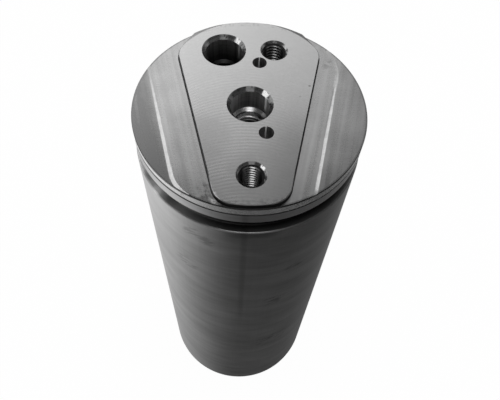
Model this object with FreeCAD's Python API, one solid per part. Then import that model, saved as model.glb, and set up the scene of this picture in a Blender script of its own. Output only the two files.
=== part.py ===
import FreeCAD, Part
import math
import os

# Receiver drier: a drawn can with a machined head, closed by a rolled neck.
# Millimetres. The origin is the centre of the can's underside, and +Z is up.
# -Y is the narrow end of the raised port pad.

Vector = FreeCAD.Vector
Z_AXIS = Vector(0, 0, 1)

# Overall size
overall_height = 205.0
can_diameter = 75.7

# Head: flange, and the port pad that stands over the two machined lands
flange_inset = 0.35
flange_height = 3.7
edge_chamfer = 0.15
joint_chamfer = 0.2
pad_height = 1.65
pad_setback = 0.45
pad_side_inset = 18.65
pad_half_angle = 13.0
pad_corner_radius = 7.0
pad_rear_corner_inset = 14.9
pad_exit_angle = 30.0
pad_edge_break = 0.2
pad_relief_width = 0.3
pad_relief_depth = 0.2
rear_arc_radius = 27.0
rear_bevel_angle = 19.0

# Shallow track that the cutter leaves where two passes meet on each land
track_cutter_radius = 3.0
track_width = 1.2
left_track_offset = 10.45
left_track_bend_y = -25.5
left_track_bend_radius = 12.0
right_track_offset = 7.0
right_track_bend_y = 12.0
right_track_bend_radius = 18.0
track_bend_angle = 45.0

# Ports: a chamfered sealing bore, a cone, and the passage below it
port_bore_diameter = 12.6
port_chamfer_width = 1.16
port_chamfer_depth = 1.35
outlet_bore_depth = 9.0
outlet_cone_depth = 1.6
outlet_pilot_diameter = 10.8
outlet_pilot_depth = 2.0
outlet_passage_diameter = 8.2
inlet_bore_depth = 10.7
inlet_cone_depth = 0.9
inlet_passage_diameter = 10.6
inlet_x = -8.5
inlet_y = 23.5

# Tapped holes for the two pipe blocks, and the locating hole beside each
thread_major_diameter = 8.0
thread_depth = 14.0
drill_diameter = 6.8
drill_depth = 17.0
drill_tip_angle = 118.0
thread_mouth_diameter = 9.4
inlet_thread_x = 8.5
inlet_thread_y = 23.6
outlet_thread_y = -26.7
dowel_hole_diameter = 4.8
dowel_hole_depth = 8.0
inlet_dowel_x = 3.4
inlet_dowel_y = 17.8
outlet_dowel_x = 4.8
outlet_dowel_y = -11.35

# Can
can_wall = 2.0
can_floor = 3.0
base_corner_radius = 6.0
base_dish_diameter = 54.0
base_dish_depth = 0.8
base_dish_slope = 3.0

# Rolled neck: the lip above it closes against the flange and is as wide
mouth_height = 4.55
neck_opening = 6.45
neck_depth = 3.0
neck_flank_drop = 0.25
neck_lip_radius = 0.6
neck_root_radius = 1.0
shoulder_radius = 0.5
bulge_corner_radius = 2.4

# Spigot of the head inside the can
spigot_clearance = 0.05
locking_clearance = 0.1
spigot_length = 21.0
spigot_chamfer = 0.8
seal_section = 2.4
seal_groove_width = 3.2
seal_groove_offset = 3.2

# Pickup tube from the outlet to the sump
tube_diameter = 10.0
tube_wall = 1.0
tube_fit_clearance = 0.02
tube_socket_depth = 9.5
tube_floor_gap = 4.5
tube_pass_clearance = 0.3

# Strainer cup pressed over the foot of the tube
strainer_diameter = 16.0
strainer_height = 13.0
strainer_wall = 0.5
strainer_collar_height = 4.0
strainer_floor_gap = 1.0
strainer_slot_count = 12
strainer_slot_width = 1.6
strainer_slot_height = 5.0

# Desiccant stack: stand, felt, beads, felt and pressure plate
stack_clearance = 0.25
plate_thickness = 1.0
stand_height = 18.0
stand_foot_diameter = 60.0
stand_foot_flange = 2.0
stand_window_count = 6
stand_window_width = 14.0
stand_window_height = 8.0
felt_thickness = 4.0
bed_height = 112.0
plate_rim_height = 5.0
plate_rim_radius = 1.5
perforation_diameter = 4.0
perforation_rings = ((6, 14.0), (12, 23.0))

# Spring between the head and the pressure plate
spring_wire_diameter = 2.2
spring_coil_diameter = 44.0
spring_active_turns = 4.0

# Levels worked out from the sizes above
pad_top = overall_height
land_level = pad_top - pad_height
joint_level = land_level - flange_height
mouth_foot = joint_level - mouth_height
shoulder_level = mouth_foot - neck_opening
head_underside = joint_level - spigot_length

can_radius = can_diameter / 2
can_bore_radius = can_radius - can_wall
flange_radius = can_radius - flange_inset
mouth_radius = flange_radius
neck_radius = mouth_radius - neck_depth
mouth_bore_radius = mouth_radius - can_wall
pad_half_width = flange_radius - pad_side_inset
pad_rear_corner_y = flange_radius - pad_rear_corner_inset
tube_radius = tube_diameter / 2
tube_foot = can_floor + tube_floor_gap
tube_socket_top = head_underside + tube_socket_depth

stand_top = can_floor + stand_height
lower_felt_top = stand_top + felt_thickness
bed_top = lower_felt_top + bed_height
upper_felt_top = bed_top + felt_thickness
pressure_plate_top = upper_felt_top + plate_thickness
stack_radius = can_bore_radius - stack_clearance
stack_hole_radius = tube_radius + tube_pass_clearance


def unit(vector):
    return vector.multiply(1 / vector.Length)


def rounded_corner(before, corner, after, radius):
    """Tangent points and middle point of the arc that rounds one corner."""
    to_before = unit(before - corner)
    to_after = unit(after - corner)
    half_angle = to_before.getAngle(to_after) / 2
    reach = radius / math.tan(half_angle)
    bisector = unit(to_before + to_after)
    centre = corner + bisector * (radius / math.sin(half_angle))
    return corner + to_before * reach, centre - bisector * radius, corner + to_after * reach


def closed_profile(corners):
    """Closed wire in the XZ plane from (radius, height) or (radius, height, rounding)."""
    points = [Vector(c[0], 0, c[1]) for c in corners]
    roundings = [c[2] if len(c) > 2 else 0 for c in corners]
    count = len(points)
    edges = []
    starts = []
    ends = []
    for i in range(count):
        if roundings[i] > 0:
            first, middle, last = rounded_corner(
                points[i - 1], points[i], points[(i + 1) % count], roundings[i])
            edges.append(Part.Arc(first, middle, last).toShape())
        else:
            first = points[i]
            last = points[i]
        starts.append(first)
        ends.append(last)
    for i in range(count):
        leave = ends[i]
        arrive = starts[(i + 1) % count]
        if (arrive - leave).Length > 1e-6:
            edges.append(Part.LineSegment(leave, arrive).toShape())
    return Part.Wire(Part.__sortEdges__(edges))


def turned(corners, x=0.0, y=0.0):
    """Solid turned from a profile about the vertical line through (x, y)."""
    solid = Part.Face(closed_profile(corners)).revolve(Vector(0, 0, 0), Z_AXIS, 360)
    solid.translate(Vector(x, y, 0))
    return solid


def around(shape, count):
    """Copies of a shape, evenly turned about the main axis."""
    copies = []
    for i in range(count):
        copy = shape.copy()
        copy.rotate(Vector(0, 0, 0), Z_AXIS, 360.0 * i / count)
        copies.append(copy)
    return copies


def neck_bulge(gap):
    """Inner face of the rolled neck, from its top corner down, moved inwards by a gap."""
    bulge_radius = neck_radius - can_wall - gap
    top = mouth_foot - neck_flank_drop + can_wall + gap
    foot = shoulder_level + shoulder_radius - can_wall - gap
    return bulge_radius, top, foot


def can_profile():
    """Section of the can's wall and floor, with the rolled neck under the lip."""
    flank_level = shoulder_level + shoulder_radius
    bulge_radius, bulge_top, bulge_foot = neck_bulge(0.0)
    inner_corner = base_corner_radius - can_wall
    dish_radius = base_dish_diameter / 2
    return [
        (mouth_radius - joint_chamfer, joint_level),
        (mouth_radius, joint_level - joint_chamfer),
        (mouth_radius, mouth_foot, neck_lip_radius),
        (neck_radius, mouth_foot - neck_flank_drop, neck_root_radius),
        (neck_radius, flank_level + neck_flank_drop, neck_root_radius),
        (can_radius, flank_level, shoulder_radius),
        (can_radius, 0, base_corner_radius),
        (dish_radius, 0),
        (dish_radius - base_dish_slope, base_dish_depth),
        (0, base_dish_depth),
        (0, can_floor),
        (can_bore_radius, can_floor, inner_corner),
        (can_bore_radius, bulge_foot),
        (bulge_radius, bulge_foot, bulge_corner_radius),
        (bulge_radius, bulge_top, bulge_corner_radius),
        (mouth_bore_radius, bulge_top),
        (mouth_bore_radius, joint_level),
    ]


def make_canister():
    return turned(can_profile())


def seal_groove():
    """Level of the seal's middle and the radius of the groove's floor."""
    middle = head_underside + seal_groove_offset + seal_groove_width / 2
    return middle, can_bore_radius - seal_section


def head_blank():
    """Turned flange and spigot, with the locking groove and the seal groove."""
    upper_land = mouth_bore_radius - spigot_clearance
    lower_land = can_bore_radius - spigot_clearance
    groove_radius, groove_top, groove_foot = neck_bulge(locking_clearance)
    groove_rounding = bulge_corner_radius + locking_clearance
    seal_middle, seal_floor = seal_groove()
    half_width = seal_groove_width / 2
    return turned([
        (0, head_underside),
        (lower_land - spigot_chamfer, head_underside),
        (lower_land, head_underside + spigot_chamfer),
        (lower_land, seal_middle - half_width),
        (seal_floor, seal_middle - half_width),
        (seal_floor, seal_middle + half_width),
        (lower_land, seal_middle + half_width),
        (lower_land, groove_foot),
        (groove_radius, groove_foot, groove_rounding),
        (groove_radius, groove_top, groove_rounding),
        (upper_land, groove_top),
        (upper_land, joint_level),
        (flange_radius - joint_chamfer, joint_level),
        (flange_radius, joint_level + joint_chamfer),
        (flange_radius, land_level - edge_chamfer),
        (flange_radius - edge_chamfer, land_level),
        (0, land_level),
    ])


def pad_side(side, y, offset=0.0):
    """Point on a long side of the pad at depth y, moved outwards by an offset."""
    slope = math.tan(math.radians(pad_half_angle))
    outwards = offset / math.cos(math.radians(pad_half_angle))
    return Vector(side * (pad_half_width + outwards + slope * y), y, 0)


def pad_exit(side):
    """Point where the cutter that forms a long side has left the head at the rear."""
    travel = flange_radius - pad_rear_corner_y
    corner = pad_side(side, pad_rear_corner_y)
    return corner + Vector(-side * travel * math.tan(math.radians(pad_exit_angle)), travel, 0)


def pad_block():
    """Tapered block, trimmed by the flange's round edge, with its four corners rounded."""
    outer = flange_radius - pad_setback
    corners = [
        pad_side(-1, -flange_radius),
        pad_side(1, -flange_radius),
        pad_side(1, pad_rear_corner_y),
        pad_exit(1),
        pad_exit(-1),
        pad_side(-1, pad_rear_corner_y),
    ]
    outline = Part.Face(Part.makePolygon(corners + [corners[0]]))
    depth = flange_height / 2 + pad_height
    outline.translate(Vector(0, 0, pad_top - depth))
    block = outline.extrude(Vector(0, 0, depth))
    disc = Part.makeCylinder(outer, depth, Vector(0, 0, pad_top - depth))
    block = block.common(disc)
    corner_edges = [e for e in block.Edges
                    if is_upright(e) and e.CenterOfMass.y < pad_rear_corner_y + pad_setback]
    return block.makeFillet(pad_corner_radius, corner_edges)


def pad_blank():
    """The port pad, with its upper edge broken and its wide end bevelled."""
    block = pad_block()
    top_edges = [e for e in block.Edges if lies_at(e, pad_top)]
    return block.makeChamfer(pad_edge_break, top_edges).cut(rear_bevel())


def pad_relief():
    """Narrow groove that the finishing cutter leaves in the lands round the foot of the pad."""
    block = pad_block()
    top = [f for f in block.Faces if lies_at(f, pad_top)][0]
    ring = top.makeOffset2D(pad_relief_width)
    ring.translate(Vector(0, 0, land_level - pad_relief_depth - pad_top))
    return ring.extrude(Vector(0, 0, pad_height)).cut(block)


def is_upright(edge):
    box = edge.BoundBox
    return box.ZLength > 0.5 and box.XLength < 1e-6 and box.YLength < 1e-6


def lies_at(shape, level):
    box = shape.BoundBox
    return abs(box.ZMin - level) < 1e-6 and abs(box.ZMax - level) < 1e-6


def rear_bevel():
    """Half ring that bevels the pad's wide end down to the flange's edge."""
    outer = flange_radius - pad_setback
    width = 2 * (flange_radius - rear_arc_radius)
    fall = width * math.tan(math.radians(rear_bevel_angle))
    inner = rear_arc_radius
    section = Part.Face(closed_profile([
        (inner, pad_top),
        (inner + width, pad_top - fall),
        (inner + width, pad_top + pad_height),
        (inner, pad_top + pad_height),
    ]))
    bevel = section.revolve(Vector(0, 0, 0), Z_AXIS, 180)
    bevel.translate(Vector(0, outer - rear_arc_radius, 0))
    return bevel


def cutter_track(side, offset, bend_y, bend_radius):
    """Round cutter moved beside the pad, then round a bend and out over the flange's edge."""
    ahead = math.copysign(1, bend_y)
    depth = track_cutter_radius - math.sqrt(track_cutter_radius ** 2 - track_width ** 2 / 4)
    level = Vector(0, 0, land_level + track_cutter_radius - depth)
    start = pad_side(side, -ahead * flange_radius, offset) + level
    bend = pad_side(side, bend_y, offset) + level
    along = unit(bend - start)
    inwards = Vector(along.y, -along.x, 0) * (side * -ahead)
    centre = bend + inwards * bend_radius
    points = []
    for angle in (track_bend_angle / 2, track_bend_angle):
        turn = math.radians(angle)
        points.append(centre + (along * math.sin(turn) - inwards * math.cos(turn)) * bend_radius)
    path = Part.Wire([
        Part.LineSegment(start, bend).toShape(),
        Part.Arc(bend, points[0], points[1]).toShape(),
    ])
    circle = Part.Wire(Part.Circle(start, along, track_cutter_radius).toShape())
    return path.makePipeShell([circle], True, True)


def port_tool(x, y, bore_depth, cone_depth, pilot_diameter, pilot_depth, passage_diameter, foot):
    """Everything that is cut for one port, from its mouth down to the level foot."""
    bore = port_bore_diameter / 2
    pilot = pilot_diameter / 2
    passage = passage_diameter / 2
    cone_foot = pad_top - bore_depth - cone_depth
    pilot_foot = cone_foot - pilot_depth
    corners = [
        (0, pad_top + pad_height),
        (bore + port_chamfer_width, pad_top + pad_height),
        (bore + port_chamfer_width, pad_top),
        (bore, pad_top - port_chamfer_depth),
        (bore, pad_top - bore_depth),
        (pilot, cone_foot),
    ]
    if pilot > passage:
        corners.append((pilot, pilot_foot))
        corners.append((passage, pilot_foot - (pilot - passage) / 2))
    corners.append((passage, foot))
    corners.append((0, foot))
    return turned(corners, x, y)


def outlet_tool():
    """Centre port: its passage opens into the socket of the pickup tube."""
    port = port_tool(0, 0, outlet_bore_depth, outlet_cone_depth, outlet_pilot_diameter,
                     outlet_pilot_depth, outlet_passage_diameter, tube_socket_top)
    socket_radius = tube_radius + tube_fit_clearance
    socket = Part.makeCylinder(socket_radius, tube_socket_depth, Vector(0, 0, head_underside))
    return [port, socket]


def inlet_tool():
    """Side port: its passage opens over the desiccant stack."""
    return port_tool(inlet_x, inlet_y, inlet_bore_depth, inlet_cone_depth, inlet_passage_diameter,
                     0.0, inlet_passage_diameter, head_underside)


def tapped_hole(x, y):
    """Countersunk hole at the thread's major diameter, with the drill's point below it."""
    major = thread_major_diameter / 2
    drill = drill_diameter / 2
    mouth = thread_mouth_diameter / 2
    tip = drill / math.tan(math.radians(drill_tip_angle / 2))
    return turned([
        (0, pad_top + pad_height),
        (mouth, pad_top + pad_height),
        (mouth, pad_top),
        (major, pad_top - (mouth - major)),
        (major, pad_top - thread_depth),
        (drill, pad_top - thread_depth - (major - drill)),
        (drill, pad_top - drill_depth),
        (0, pad_top - drill_depth - tip),
    ], x, y)


def dowel_hole(x, y):
    return Part.makeCylinder(dowel_hole_diameter / 2, dowel_hole_depth + pad_height,
                             Vector(x, y, pad_top - dowel_hole_depth))


def make_head():
    """Machined head: turned blank, milled pad and lands, ports and fixing holes."""
    solid = head_blank().fuse(pad_blank())
    tools = outlet_tool()
    tools.append(pad_relief())
    tools.append(cutter_track(-1, left_track_offset, left_track_bend_y, left_track_bend_radius))
    tools.append(cutter_track(1, right_track_offset, right_track_bend_y, right_track_bend_radius))
    tools.append(inlet_tool())
    tools.append(tapped_hole(inlet_thread_x, inlet_thread_y))
    tools.append(tapped_hole(0, outlet_thread_y))
    tools.append(dowel_hole(inlet_dowel_x, inlet_dowel_y))
    tools.append(dowel_hole(outlet_dowel_x, outlet_dowel_y))
    return solid.cut(tools).removeSplitter()


def make_head_seal():
    """Seal ring, held between the groove's floor and the can's bore."""
    middle, floor_radius = seal_groove()
    section = (can_bore_radius - floor_radius) / 2
    return Part.makeTorus(floor_radius + section, section, Vector(0, 0, middle))


def make_pickup_tube():
    """Tube pressed into the head, its foot cut square over the sump."""
    length = tube_socket_top - tube_foot
    outside = Part.makeCylinder(tube_radius, length, Vector(0, 0, tube_foot))
    inside = Part.makeCylinder(tube_radius - tube_wall, length, Vector(0, 0, tube_foot))
    return outside.cut(inside)


def make_tube_strainer():
    """Slotted cup with a collar that grips the foot of the tube."""
    foot = can_floor + strainer_floor_gap
    shoulder = foot + strainer_height - strainer_collar_height
    outer = strainer_diameter / 2
    grip = tube_radius + tube_fit_clearance
    cup = turned([
        (0, foot),
        (outer, foot, 2 * strainer_wall),
        (outer, shoulder, 2 * strainer_wall),
        (grip + strainer_wall, shoulder + strainer_wall),
        (grip + strainer_wall, foot + strainer_height),
        (grip, foot + strainer_height),
        (grip, shoulder - strainer_wall),
        (outer - strainer_wall, shoulder - strainer_wall, strainer_wall),
        (outer - strainer_wall, foot + strainer_wall, strainer_wall),
        (0, foot + strainer_wall),
    ])
    slot = Part.makeBox(strainer_wall * 4, strainer_slot_width, strainer_slot_height)
    slot_foot = (foot + shoulder - strainer_slot_height) / 2
    slot.translate(Vector(outer - 3 * strainer_wall, -strainer_slot_width / 2, slot_foot))
    return cup.cut(around(slot, strainer_slot_count))


def perforations(level):
    """Round holes in rings, clear through a plate at this level."""
    holes = []
    for count, ring_radius in perforation_rings:
        hole = Part.makeCylinder(perforation_diameter / 2, 4 * plate_thickness,
                                 Vector(ring_radius, 0, level - 2 * plate_thickness))
        holes.extend(around(hole, count))
    return holes


def make_lower_plate():
    """Pressed stand: a perforated table on a tapered skirt with windows into the sump."""
    foot_radius = stand_foot_diameter / 2
    inner_foot = foot_radius - stand_foot_flange
    stand = turned([
        (stack_hole_radius, stand_top),
        (stack_radius, stand_top, plate_rim_radius),
        (foot_radius, can_floor + plate_thickness),
        (foot_radius, can_floor),
        (inner_foot, can_floor),
        (inner_foot, can_floor + plate_thickness),
        (stack_radius - 2 * plate_thickness, stand_top - plate_thickness),
        (stack_hole_radius, stand_top - plate_thickness),
    ])
    window = Part.makeBox(stack_radius, stand_window_width, stand_window_height)
    window_foot = can_floor + (stand_height - stand_window_height) / 2
    window.translate(Vector(strainer_diameter, -stand_window_width / 2, window_foot))
    return stand.cut(around(window, stand_window_count) + perforations(stand_top))


def disc_with_hole(foot, height):
    outside = Part.makeCylinder(stack_radius, height, Vector(0, 0, foot))
    return outside.cut(Part.makeCylinder(stack_hole_radius, height, Vector(0, 0, foot)))


def make_upper_plate():
    """Pressure plate: perforated, with an upturned rim that guides it in the can."""
    rim_top = upper_felt_top + plate_rim_height
    plate = turned([
        (stack_hole_radius, upper_felt_top),
        (stack_radius, upper_felt_top, plate_rim_radius + plate_thickness),
        (stack_radius, rim_top),
        (stack_radius - plate_thickness, rim_top),
        (stack_radius - plate_thickness, pressure_plate_top, plate_rim_radius),
        (stack_hole_radius, pressure_plate_top),
    ])
    return plate.cut(perforations(upper_felt_top))


def make_compression_spring():
    """Coil spring with both ends ground flat against the head and the pressure plate."""
    free_space = head_underside - pressure_plate_top
    pitch = free_space / spring_active_turns
    coil_radius = (spring_coil_diameter - spring_wire_diameter) / 2
    helix = Part.makeHelix(pitch, free_space, coil_radius)
    start = Vector(coil_radius, 0, 0)
    along = Vector(0, 2 * math.pi * coil_radius, pitch)
    section = Part.Wire(Part.Circle(start, along, spring_wire_diameter / 2).toShape())
    coil = Part.Wire(helix.Edges).makePipeShell([section], True, True)
    coil.translate(Vector(0, 0, pressure_plate_top))
    slab = Part.makeCylinder(spring_coil_diameter, free_space, Vector(0, 0, pressure_plate_top))
    return coil.common(slab)


def sub_parts():
    return {
        "head": make_head(),
        "canister": make_canister(),
        "head_seal": make_head_seal(),
        "pickup_tube": make_pickup_tube(),
        "tube_strainer": make_tube_strainer(),
        "lower_plate": make_lower_plate(),
        "lower_filter": disc_with_hole(stand_top, felt_thickness),
        "desiccant_bed": disc_with_hole(lower_felt_top, bed_height),
        "upper_filter": disc_with_hole(bed_top, felt_thickness),
        "upper_plate": make_upper_plate(),
        "compression_spring": make_compression_spring(),
    }


def main():
    os.makedirs("parts", exist_ok=True)
    for node, shape in sub_parts().items():
        shape.exportStep("parts/" + node + ".step")
        print(node, "solids", len(shape.Solids), "valid", shape.isValid(),
              "volume", round(shape.Volume, 1))


main()
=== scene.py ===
"""Looks of a receiver drier: its machined head, drawn can, threads and inner pieces.

All sizes are in millimetres until a mesh or a lamp is placed, and MM turns them into metres.
"""
import logging
import math
from dataclasses import dataclass
from enum import Enum
from typing import Iterable, Union

import bmesh
import bpy
from mathutils import Matrix, Vector


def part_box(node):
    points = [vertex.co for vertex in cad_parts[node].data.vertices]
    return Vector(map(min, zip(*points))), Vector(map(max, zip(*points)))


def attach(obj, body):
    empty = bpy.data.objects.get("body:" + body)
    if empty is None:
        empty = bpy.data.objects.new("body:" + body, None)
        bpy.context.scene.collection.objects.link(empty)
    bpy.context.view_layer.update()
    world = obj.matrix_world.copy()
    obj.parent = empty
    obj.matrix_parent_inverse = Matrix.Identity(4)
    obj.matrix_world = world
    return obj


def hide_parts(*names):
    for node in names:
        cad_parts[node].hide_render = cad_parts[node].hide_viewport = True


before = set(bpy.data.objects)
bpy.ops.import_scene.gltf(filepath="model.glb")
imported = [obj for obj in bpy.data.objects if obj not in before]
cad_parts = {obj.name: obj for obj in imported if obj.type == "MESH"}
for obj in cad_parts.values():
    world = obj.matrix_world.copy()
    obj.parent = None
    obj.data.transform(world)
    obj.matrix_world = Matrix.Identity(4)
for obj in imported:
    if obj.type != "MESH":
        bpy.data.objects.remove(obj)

MM = 0.001
MERGE_GAP = 1e-7
LOG = logging.getLogger("receiver_drier")

Number = Union[int, float]
Spot = tuple[float, float, float]
Profile = list[tuple[float, float]]

# Centres of the holes in the pad
OUTLET = (0.0, 0.0)
INLET = (-8.5, 23.5)
FRONT_THREAD = (0.0, -26.7)
REAR_THREAD = (8.5, 23.6)
FRONT_PIN = (4.8, -11.35)
REAR_PIN = (3.4, 17.8)

# Levels of the head
PAD_TOP = 205.0
LAND_LEVEL = 203.35
JOINT = 199.65


class Slot(Enum):
    """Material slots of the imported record."""

    HEAD = "head"
    CANISTER = "canister"


class Zone(Enum):
    """Machined zones of the head, numbered in the order of their finishes."""

    PAD = 0
    LAND = 1
    TRACK = 2
    RIM = 3
    BORE = 4
    CHAMFER = 5
    WALL = 6


class Value:
    """A number that changes over a surface, held as a shader socket."""

    def __init__(self, graph: "Graph", socket: bpy.types.NodeSocket) -> None:
        """Wraps an output socket of a graph."""
        self.graph = graph
        self.socket = socket

    def _math(self, operation: str, first: "Term", second: "Term" = 0.0) -> "Value":
        """Adds one Math node and wraps its result."""
        node = self.graph.node("ShaderNodeMath", {"operation": operation}, {0: first, 1: second})
        return Value(self.graph, node.outputs[0])

    def __add__(self, other: "Term") -> "Value":
        """Sum."""
        return self._math("ADD", self, other)

    def __radd__(self, other: "Term") -> "Value":
        """Sum with a number on the left."""
        return self._math("ADD", other, self)

    def __sub__(self, other: "Term") -> "Value":
        """Difference."""
        return self._math("SUBTRACT", self, other)

    def __rsub__(self, other: "Term") -> "Value":
        """Difference with a number on the left."""
        return self._math("SUBTRACT", other, self)

    def __mul__(self, other: "Term") -> "Value":
        """Product."""
        return self._math("MULTIPLY", self, other)

    def __rmul__(self, other: "Term") -> "Value":
        """Product with a number on the left."""
        return self._math("MULTIPLY", other, self)

    def __truediv__(self, other: "Term") -> "Value":
        """Quotient."""
        return self._math("DIVIDE", self, other)

    def __abs__(self) -> "Value":
        """Absolute value."""
        return self._math("ABSOLUTE", self)

    def root(self) -> "Value":
        """Square root."""
        return self._math("SQRT", self)

    def sine(self) -> "Value":
        """Sine."""
        return self._math("SINE", self)

    def most(self, other: "Term") -> "Value":
        """The larger of two terms."""
        return self._math("MAXIMUM", self, other)

    def least(self, other: "Term") -> "Value":
        """The smaller of two terms."""
        return self._math("MINIMUM", self, other)

    def step(self, low: Number, high: Number) -> "Value":
        """Smooth step.

        Args:
            low: Where the step leaves 0.
            high: Where it reaches 1. It may lie below low.

        Returns:
            A value from 0 to 1.
        """
        falling = high < low
        settings = {"interpolation_type": "SMOOTHSTEP", "clamp": True}
        inputs = {"Value": self, "From Min": min(low, high), "From Max": max(low, high)}
        inputs.update({"To Min": 1.0 if falling else 0.0, "To Max": 0.0 if falling else 1.0})
        return Value(self.graph, self.graph.node("ShaderNodeMapRange", settings, inputs).outputs[0])


Term = Union[Value, Number]


class Graph:
    """The node tree of one material or of the world."""

    def __init__(self, tree: bpy.types.NodeTree) -> None:
        """Takes a node tree and empties it."""
        self.tree = tree
        tree.nodes.clear()

    def node(self, kind: str, settings: dict | None = None,
             inputs: dict | None = None) -> bpy.types.Node:
        """Adds one node.

        Args:
            kind: The node's type.
            settings: Its properties, by name.
            inputs: Numbers, colours, values or sockets for its inputs, by name or index.

        Returns:
            The new node.
        """
        made = self.tree.nodes.new(kind)
        for name, setting in (settings or {}).items():
            setattr(made, name, setting)
        for key, term in (inputs or {}).items():
            self.feed(made.inputs[key], term)
        return made

    def feed(self, target: bpy.types.NodeSocket, term: object) -> None:
        """Links or sets one input.

        Args:
            target: The input socket.
            term: A value, a socket, a number or a tuple.
        """
        if isinstance(term, Value):
            term = term.socket
        if isinstance(term, bpy.types.NodeSocket):
            self.tree.links.new(term, target)
        else:
            target.default_value = term

    def place(self) -> bpy.types.NodeSocket:
        """The surface point as a vector in millimetres, from Object coordinates.

        Returns:
            The vector's socket.
        """
        source = self.node("ShaderNodeTexCoord").outputs["Object"]
        scaled = self.node("ShaderNodeVectorMath", {"operation": "SCALE"}, {0: source, "Scale": 1 / MM})
        return scaled.outputs[0]

    @staticmethod
    def radius(x: Value, y: Value) -> Value:
        """Distance from the axis that two parts are measured from."""
        return (x * x + y * y).root()

    def axes(self, vector: bpy.types.NodeSocket) -> tuple[Value, Value, Value]:
        """The x, y and z of a vector."""
        parts = self.node("ShaderNodeSeparateXYZ", None, {0: vector}).outputs
        return tuple(Value(self, part) for part in parts)

    def point(self) -> tuple[bpy.types.NodeSocket, Value, Value, Value]:
        """The surface point and its x, y and z."""
        place = self.place()
        return (place, *self.axes(place))

    def vector(self, x: Term, y: Term, z: Term) -> bpy.types.NodeSocket:
        """Joins three terms into a vector."""
        return self.node("ShaderNodeCombineXYZ", None, {0: x, 1: y, 2: z}).outputs[0]

    def noise(self, vector: bpy.types.NodeSocket, scale: float, detail: float = 3.0) -> Value:
        """Smooth noise with a mean of one half: features to the unit, and finer layers."""
        inputs = {"Vector": vector, "Scale": scale, "Detail": detail}
        return Value(self, self.node("ShaderNodeTexNoise", None, inputs).outputs[0])

    def tone(self, mask: Value, dark: "Colour", light: "Colour") -> bpy.types.NodeSocket:
        """Colour between two others.

        Args:
            mask: 0 gives the dark colour and 1 the light one.
            dark: First colour.
            light: Second colour.

        Returns:
            The mixed colour's socket.
        """
        settings = {"data_type": "RGBA", "clamp_factor": True}
        mix = self.node("ShaderNodeMix", settings, {0: mask, 6: rgba(dark), 7: rgba(light)})
        return mix.outputs[2]

    def bump(self, height: Value, distance: float) -> bpy.types.NodeSocket:
        """Bumped normal, where a height of 1 stands for a distance in millimetres."""
        inputs = {"Height": height, "Distance": distance * MM, "Strength": 1.0}
        return self.node("ShaderNodeBump", None, inputs).outputs[0]

    def near(self, place: bpy.types.NodeSocket, spot: Spot, reach: float) -> Value:
        """Soft round spot.

        Args:
            place: The surface point.
            spot: The spot's middle, in millimetres.
            reach: Its radius.

        Returns:
            1 in the middle and 0 outside.
        """
        inputs = {0: place, 1: spot}
        gap = self.node("ShaderNodeVectorMath", {"operation": "DISTANCE"}, inputs).outputs[1]
        return Value(self, gap).step(reach, 0.3 * reach)


Colour = tuple[float, float, float]


def rgba(colour: Colour) -> tuple[float, float, float, float]:
    """A colour with full alpha."""
    return (*colour, 1.0)


def grey(level: float) -> Colour:
    """A neutral colour of a linear brightness."""
    return (level, level, level)


@dataclass(frozen=True)
class Finish:
    """Base of all finishes: a named material with one Principled shader."""

    name: str
    base: Colour
    metallic: float
    roughness: float

    def material(self) -> bpy.types.Material:
        """Builds the material.

        Returns:
            The finished material.
        """
        made = bpy.data.materials.new(self.name)
        made.use_nodes = True
        graph = Graph(made.node_tree)
        constants = {"Metallic": self.metallic, "Roughness": self.roughness}
        shader = graph.node("ShaderNodeBsdfPrincipled", None, constants)
        for socket, term in self.surface(graph).items():
            graph.feed(shader.inputs[socket], term)
        graph.node("ShaderNodeOutputMaterial", None, {"Surface": shader.outputs[0]})
        made.diffuse_color = rgba(self.base)
        return made

    def surface(self, graph: Graph) -> dict[str, object]:
        """Terms for the shader's sockets, by name, where they change over the surface."""
        raise NotImplementedError

    def shade(self, level: float) -> Colour:
        """The base colour, made lighter or darker by a factor."""
        return tuple(min(1.0, part * level) for part in self.base)


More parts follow.
